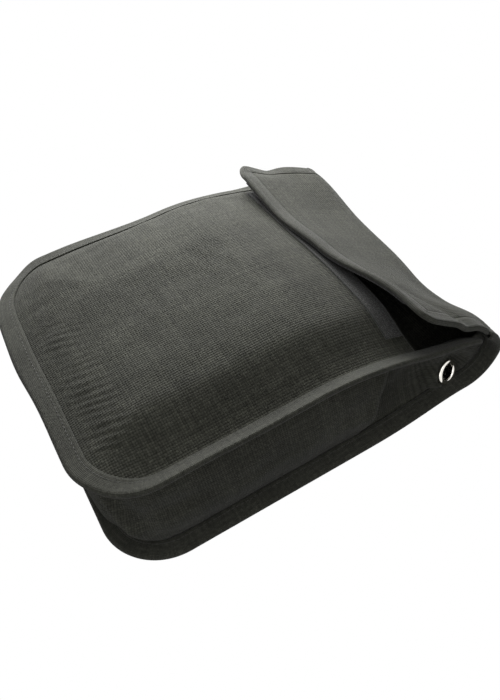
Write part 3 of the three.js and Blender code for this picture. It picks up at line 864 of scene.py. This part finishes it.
def stitched(name, rows, body, pitch=3.1 * MM, length=2.5 * MM, width=0.55 * MM):
    """A seam's stitches: each row is its first and last run, and the function that puts it in space."""
    data = bpy.data.meshes.new(name)
    whole = bmesh.new()
    for start, end, place in rows:
        count = round((end - start) / pitch)
        for first in range(0, count, stitches_per_run):
            part = bmesh.new()
            for k in range(first, min(first + stitches_per_run, count)):
                stitch(part, place, start + (k + 0.5) * (end - start) / count, length, width)
            part.to_mesh(data)
            part.free()
            whole.from_mesh(data)
    uv = whole.loops.layers.uv.new("flat")
    for face in whole.faces:
        face.smooth = True
        for loop in face.loops:
            loop[uv].uv = loop.vert.co.xy
    whole.to_mesh(data)
    whole.free()
    piece = bpy.data.objects.new(name, data)
    bpy.context.scene.collection.objects.link(piece)
    data.materials.append(thread)
    ride_and_say(piece, body, "binding_tape")


def seam_on(place, inset, level, out=-1):
    """A row on a bound edge: thread on the tape's face at this level, and out is away from the tape."""
    return lambda run, height: place(run, inset, level + out * height)


def make_stitching():
    stitch_inset = 8.5 * MM
    flap_stitch_inset = 7.2 * MM
    seam_end = 3 * MM
    sunk = 0.2 * MM
    on_strip = 1.25 * MM
    under_flange = flange_thickness - sunk
    under_flap = flap_thickness - sunk
    front_rows = [
        (-tip_run + seam_end, tip_run - seam_end, seam_on(front_tape, stitch_inset, sunk)),
        (-tip_run + seam_end, tip_run - seam_end, seam_on(front_tape, stitch_inset, under_flange, 1)),
    ]
    stitched("front_flange_stitching", front_rows, "pouch")
    back_rows = [
        (-back_run + seam_end, back_run - seam_end, seam_on(back_tape, stitch_inset, sunk)),
        (-back_run + seam_end, back_run - seam_end, seam_on(back_tape, stitch_inset, under_flange, 1)),
    ]
    stitched("back_flange_stitching", back_rows, "pouch")
    flap_rows = [
        (-flap_run + seam_end, flap_run - seam_end, seam_on(flap_tape, flap_stitch_inset, sunk)),
        (-flap_run + seam_end, flap_run - seam_end, seam_on(flap_tape, flap_stitch_inset, under_flap, 1)),
    ]
    stitched("flap_stitching", flap_rows, "flap")
    margin = 1.6 * MM
    loop_rows = []
    hook_rows = []
    for across in (margin, strip_width - margin):
        for rows, surface in ((loop_rows, on_loop_strip), (hook_rows, on_hook_strip)):
            rows.append((
                -strip_half + margin, strip_half - margin,
                lambda run, height, across=across, surface=surface: surface(run, across, on_strip + height),
            ))
    for x in (-strip_half + margin, strip_half - margin):
        for rows, surface in ((loop_rows, on_loop_strip), (hook_rows, on_hook_strip)):
            rows.append((
                margin, strip_width - margin,
                lambda run, height, x=x, surface=surface: surface(x, run, on_strip + height),
            ))
    stitched("loop_strip_stitching", loop_rows, "pouch")
    stitched("hook_strip_stitching", hook_rows, "flap")


# ------------------------------------------------------------------ eyelets


def ring_section(points, name, centre, material, node, segments=64):
    """A metal ring spun from (radius, out of the wall) points, then turned to its eyelet's facing."""
    mesh = bmesh.new()
    hand = math.copysign(1, centre.x)
    corners = [mesh.verts.new((centre.x + hand * out, centre.y, centre.z + radius)) for radius, out in points]
    edges = [mesh.edges.new((a, b)) for a, b in zip(corners, corners[1:] + corners[:1])]
    bmesh.ops.spin(
        mesh, geom=[*corners, *edges], cent=centre, axis=(1, 0, 0), angle=2 * math.pi, steps=segments,
        use_merge=True,
    )
    bmesh.ops.remove_doubles(mesh, verts=mesh.verts, dist=0.001 * MM)
    turn = Vector((hand, 0, 0)).rotation_difference(eyelet_facing(centre)).to_matrix()
    bmesh.ops.rotate(mesh, cent=centre, matrix=turn, verts=mesh.verts)
    bmesh.ops.recalc_face_normals(mesh, faces=mesh.faces)
    for face in mesh.faces:
        face.smooth = True
    data = bpy.data.meshes.new(name)
    mesh.to_mesh(data)
    mesh.free()
    piece = bpy.data.objects.new(name, data)
    bpy.context.scene.collection.objects.link(piece)
    data.materials.append(material)
    ride_and_say(piece, "pouch", "nickel", node)


def arc_points(radius, out, size, start, end, steps):
    """Points round a bead's section, between two angles in degrees."""
    angles = [math.radians(mix(start, end, k / steps)) for k in range(steps + 1)]
    return [(radius + size * math.cos(a), out + size * math.sin(a)) for a in angles]


def make_eyelets():
    bore, rim = eyelet_bore, eyelet_rim
    for side, centre in zip(("right", "left"), eyelets):
        flange = [
            *arc_points(rim - 0.9 * MM, 0.55 * MM, 0.9 * MM, -40, 80, 8),
            *arc_points(bore + 1.1 * MM, 0.35 * MM, 1.1 * MM, 100, 180, 8),
            (bore, -2.6 * MM),
            *arc_points(bore + 1.0 * MM, -2.8 * MM, 1.0 * MM, 180, 330, 8),
            (bore + 1.0 * MM, -2.4 * MM),
            (bore + 0.5 * MM, -2.2 * MM),
            (bore + 0.5 * MM, -0.1 * MM),
        ]
        ring_section(flange, f"{side}_eyelet_barrel", centre, nickel, f"{side}_eyelet")
        washer = [
            (bore + 0.8 * MM, -1.4 * MM), (rim - 0.3 * MM, -1.4 * MM), (rim, -1.7 * MM),
            (rim - 0.4 * MM, -2.2 * MM), (bore + 0.8 * MM, -2.2 * MM),
        ]
        ring_section(washer, f"{side}_eyelet_ring", centre, nickel, f"{side}_eyelet_washer")


# ------------------------------------------------------------------ the folded blanket

blanket_size = (1.2, 1.8)
width_layers = 7
length_layers = 12
blanket_low, blanket_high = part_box("blanket")


def half_turns(run, panel, turn, count):
    """Where a run lies in a zigzag: its panel, its share along it, and its angle round the next turn."""
    step = panel + turn
    index = min(int(run / step), count - 1)
    rest = run - index * step
    if rest <= panel or index == count - 1:
        return index, min(rest / panel, 1), 0
    return index, 1, math.pi * (rest - panel) / turn


def make_blanket():
    """One sheet folded into seven layers across its width and then twelve along its length."""
    half = (blanket_high.x - blanket_low.x) / 2 - 4 * MM
    low_y, high_y = blanket_low.y + 8 * MM, blanket_high.y - 7 * MM
    bundle = (blanket_high.z - blanket_low.z - 2 * MM) / length_layers
    layer = bundle / width_layers
    across_panel, across_turn = 7, 3
    along_panel, along_turn = 14, 7
    columns = width_layers * (across_panel + across_turn) - across_turn
    rows = length_layers * (along_panel + along_turn) - along_turn
    centre_y = (low_y + high_y) / 2
    reach = (high_y - low_y) / 2

    def flat(i, j):
        return i, j

    def place(i, j):
        q, across, bend = half_turns(i, across_panel, across_turn, width_layers)
        way = 1 if q % 2 == 0 else -1
        slack = 1.2 * MM * noise.noise(Vector((q * 3.7, 0.5, j * 0.02)))
        x = way * mix(-half, half, across) - way * slack
        level = (q + 0.5) * layer
        if bend:
            x = way * (half - slack) + way * layer / 2 * math.sin(bend)
            level = (q + 1) * layer - layer / 2 * math.cos(bend)
        p, along, turn = half_turns(j, along_panel, along_turn, length_layers)
        onward = 1 if p % 2 == 0 else -1
        depth = level if onward > 0 else bundle - level
        play = 1.5 * MM * noise.noise(Vector((p * 5.1, x * 9, 2.2)))
        y = centre_y + onward * (mix(-reach, reach, along) + play * along)
        z = p * bundle + depth
        if turn:
            radius = bundle - depth
            y = centre_y + onward * (reach + play + radius * math.sin(turn))
            z = (p + 1) * bundle - radius * math.cos(turn)
        top = blanket_high.z - blanket_low.z - 1.5 * MM
        fall = 9 * MM * ease(y, -44 * MM, blanket_high.y) + 6 * MM * ease(x, 58 * MM, 92 * MM)
        lift = (top - fall) / (length_layers * bundle)
        wave = 0.6 * MM * ripple((x, y, z), 40 * MM, 6.1) * ease(z, 0, 20 * MM)
        corner = 1 - 0.5 * bump(abs(y - centre_y), reach + 8 * MM, 10 * MM) * bump(abs(x), half, 14 * MM)
        return Vector((x * (1 - 0.02 * (1 - corner)), y, blanket_low.z + 0.5 * MM + z * lift + wave))

    piece = cloth_piece("folded_blanket", columns, rows, flat, place, 0.35 * MM, glass_cloth)
    uv = piece.data.uv_layers["flat"].uv
    for item in uv:
        item.vector = (item.vector.x / columns * blanket_size[0], item.vector.y / rows * blanket_size[1])
    ride_and_say(piece, "blanket", "glass_cloth", "blanket")


def make_pull_tape(side):
    """A webbing tape, sewn on top of the folded blanket, over its end and along the pouch's back."""
    node = f"{side}_pull_tape"
    low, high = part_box(node)
    width = high.x - low.x
    face = blanket_high.y + 1.2 * MM
    bend = 6 * MM
    top = high.z - 0.8 * MM
    floor = low.z + 0.9 * MM
    lap = face - low.y - bend
    tail = high.y - face - bend
    drop = top - floor - 2 * bend
    arc = math.pi / 2 * bend
    total = lap + arc + drop + arc + tail
    columns, rows = 12, 70

    def flat(i, j):
        return i / columns * width, j / rows * total

    def place(x, run):
        bow = 0.5 * MM * ripple((x, run, 0), 12 * MM, 4.4)
        at = low.x + x
        if run < lap:
            return Vector((at, face - bend - lap + run, top + 3.3 * MM * (1 - run / lap)))
        if run < lap + arc:
            angle = (run - lap) / bend
            return Vector((at, face - bend + bend * math.sin(angle), top - bend + bend * math.cos(angle)))
        if run < lap + arc + drop:
            return Vector((at, face + bow, top - bend - (run - lap - arc)))
        if run < total - tail:
            angle = (run - lap - arc - drop) / bend
            return Vector((at, face + bend - bend * math.cos(angle), floor + bend - bend * math.sin(angle)))
        return Vector((at, face + bend + run - (total - tail), floor + abs(bow)))

    piece = cloth_piece(f"{side}_pull_webbing", columns, rows, flat, place, 1.3 * MM, webbing)
    piece.modifiers["thickness"].offset = 0
    ride_and_say(piece, "blanket", "webbing", node)


# ------------------------------------------------------------------ floor, light and camera


def seen_directly(n):
    """1 where the studio is looked at or mirrored in polished metal, and 0 where it only gives light."""
    path = n.add("ShaderNodeLightPath")
    return n.math("MAXIMUM", path.outputs["Is Camera Ray"], path.outputs["Is Singular Ray"])


def make_floor():
    mesh = bmesh.new()
    bmesh.ops.create_grid(mesh, x_segments=2, y_segments=2, size=6)
    data = bpy.data.meshes.new("floor")
    mesh.to_mesh(data)
    mesh.free()
    floor = bpy.data.objects.new("floor", data)
    floor.location.z = -0.2 * MM
    bpy.context.scene.collection.objects.link(floor)
    material, n, shader = new_material("white_sweep")
    here = n.add("ShaderNodeTexCoord").outputs["Object"]
    n.link(n.ramp(n.noise(here, 3.0), 0.0, 1.0, 0.85, 0.9), shader.inputs["Roughness"])
    shader.inputs["Base Color"].default_value = (0.3, 0.3, 0.3, 1)
    shader.inputs["Specular IOR Level"].default_value = 0.1
    seen = seen_directly(n)
    bright = n.add("ShaderNodeEmission")
    bright.inputs["Color"].default_value = (1, 1, 1, 1)
    bright.inputs["Strength"].default_value = 1.0
    both = n.add("ShaderNodeMixShader")
    n.link(seen, both.inputs["Fac"])
    n.link(shader.outputs["BSDF"], both.inputs[1])
    n.link(bright.outputs["Emission"], both.inputs[2])
    n.link(both.outputs["Shader"], material.node_tree.nodes["Material Output"].inputs["Surface"])
    data.materials.append(material)


def softbox(name, azimuth, elevation, distance, size, power):
    """A square studio light that looks at the pouch. Azimuth 0 is towards -Y and 90 towards +X."""
    light = bpy.data.lights.new(name, "AREA")
    light.shape = "SQUARE"
    light.size = size
    light.energy = power
    lamp = bpy.data.objects.new(name, light)
    a, e = math.radians(azimuth), math.radians(elevation)
    way = Vector((math.sin(a) * math.cos(e), -math.cos(a) * math.cos(e), math.sin(e)))
    lamp.location = way * distance
    lamp.visible_camera = False
    lamp.rotation_mode = "QUATERNION"
    lamp.rotation_quaternion = way.to_track_quat("Z", "Y")
    bpy.context.scene.collection.objects.link(lamp)


sky_strength = 0.13


def light_scene():
    world = bpy.data.worlds.new("studio")
    bpy.context.scene.world = world
    world.use_nodes = True
    n = Nodes(world.node_tree)
    background = world.node_tree.nodes["Background"]
    background.inputs["Color"].default_value = (1, 1, 1, 1)
    seen = seen_directly(n)
    n.link(n.ramp(seen, 0.0, 1.0, sky_strength, 1.0), background.inputs["Strength"])
    softbox("window_behind", 249, 33, 0.5, 0.3, 5.4)
    softbox("high_fill", 85, 60, 1.0, 0.8, 2.4)
    softbox("low_fill", 40, 14, 0.9, 0.6, 1.3)


def make_camera():
    azimuth, elevation, roll = (math.radians(angle) for angle in (69.01, 48.65, -10.89))
    distance = 498.5 * MM
    target = Vector((-7.65 * MM, 11.16 * MM, 0))
    back = Vector((
        math.sin(azimuth) * math.cos(elevation), -math.cos(azimuth) * math.cos(elevation), math.sin(elevation)
    ))
    right = (-back).cross(Vector((0, 0, 1))).normalized()
    up = right.cross(-back)
    rolled_right = right * math.cos(roll) + up * math.sin(roll)
    rolled_up = up * math.cos(roll) - right * math.sin(roll)
    data = bpy.data.cameras.new("camera")
    data.lens = 36.23
    data.sensor_width = 36
    data.clip_start = 0.01
    data.clip_end = 50
    camera = bpy.data.objects.new("camera", data)
    camera.matrix_world = Matrix.Translation(target + back * distance) @ Matrix(
        (rolled_right, rolled_up, back)
    ).transposed().to_4x4()
    bpy.context.scene.collection.objects.link(camera)
    bpy.context.scene.camera = camera


make_camera()
light_scene()
make_floor()
make_back()
make_front()
make_gusset()
make_bindings()
make_strip("loop_fastener", on_loop_strip, 1.2 * MM, loop_pile, "loop_pile", "loop_strip", "pouch")
make_strip("hook_fastener", on_hook_strip, 1.2 * MM, hook_pile, "hook_pile", "hook_strip", "flap")
make_stitching()
make_eyelets()
make_blanket()
for side in ("right", "left"):
    make_pull_tape(side)

bpy.context.scene.view_settings.view_transform = "Standard"
